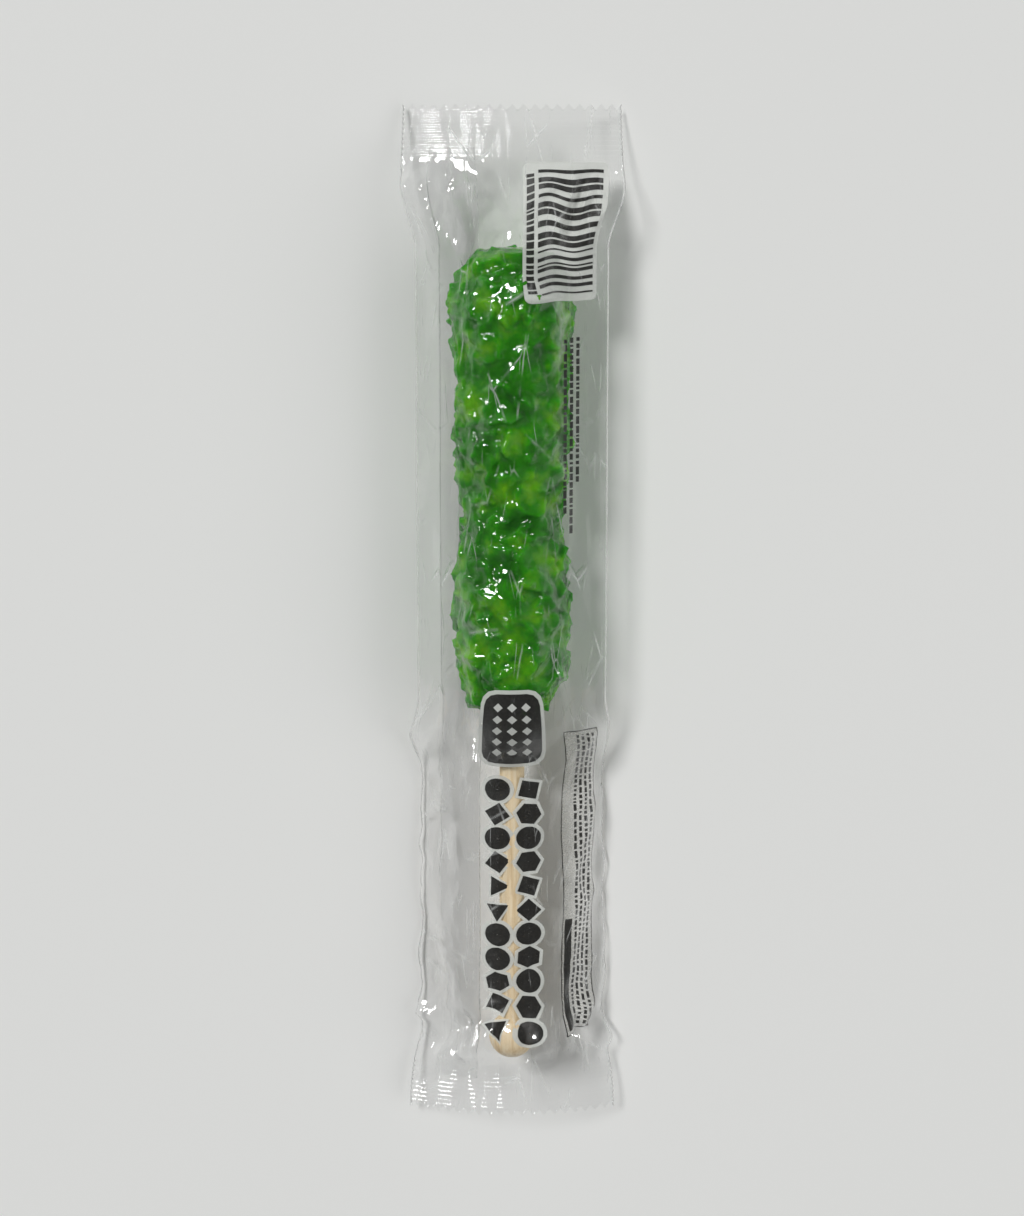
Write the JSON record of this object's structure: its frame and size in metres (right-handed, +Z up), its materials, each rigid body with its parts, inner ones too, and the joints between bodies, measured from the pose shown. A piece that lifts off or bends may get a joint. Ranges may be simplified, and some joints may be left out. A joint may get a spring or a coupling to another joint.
{
  "type": "rock candy stick",
  "caption": "Rod of green rock candy crystals grown on a turned wooden stick with a ball end, in a clear film sleeve crimped at both ends.",
  "frame": {"origin": "under the middle of the sleeve's box, on the table the part lies on", "axes": "+Y along the stick from the ball to the candy, +Z up through the shown side, +X across the sleeve"},
  "size_m": [0.0434, 0.203, 0.0234],
  "materials": {
    "sugar": "translucent green crystal with glossy facets",
    "birch": "plain sanded, unvarnished",
    "film": "clear glossy film, wrinkled, with black and white print"
  },
  "bodies": {
    "root": {"candy": "sugar", "stick": "birch", "sleeve": "film"}
  },
  "joints": []
}
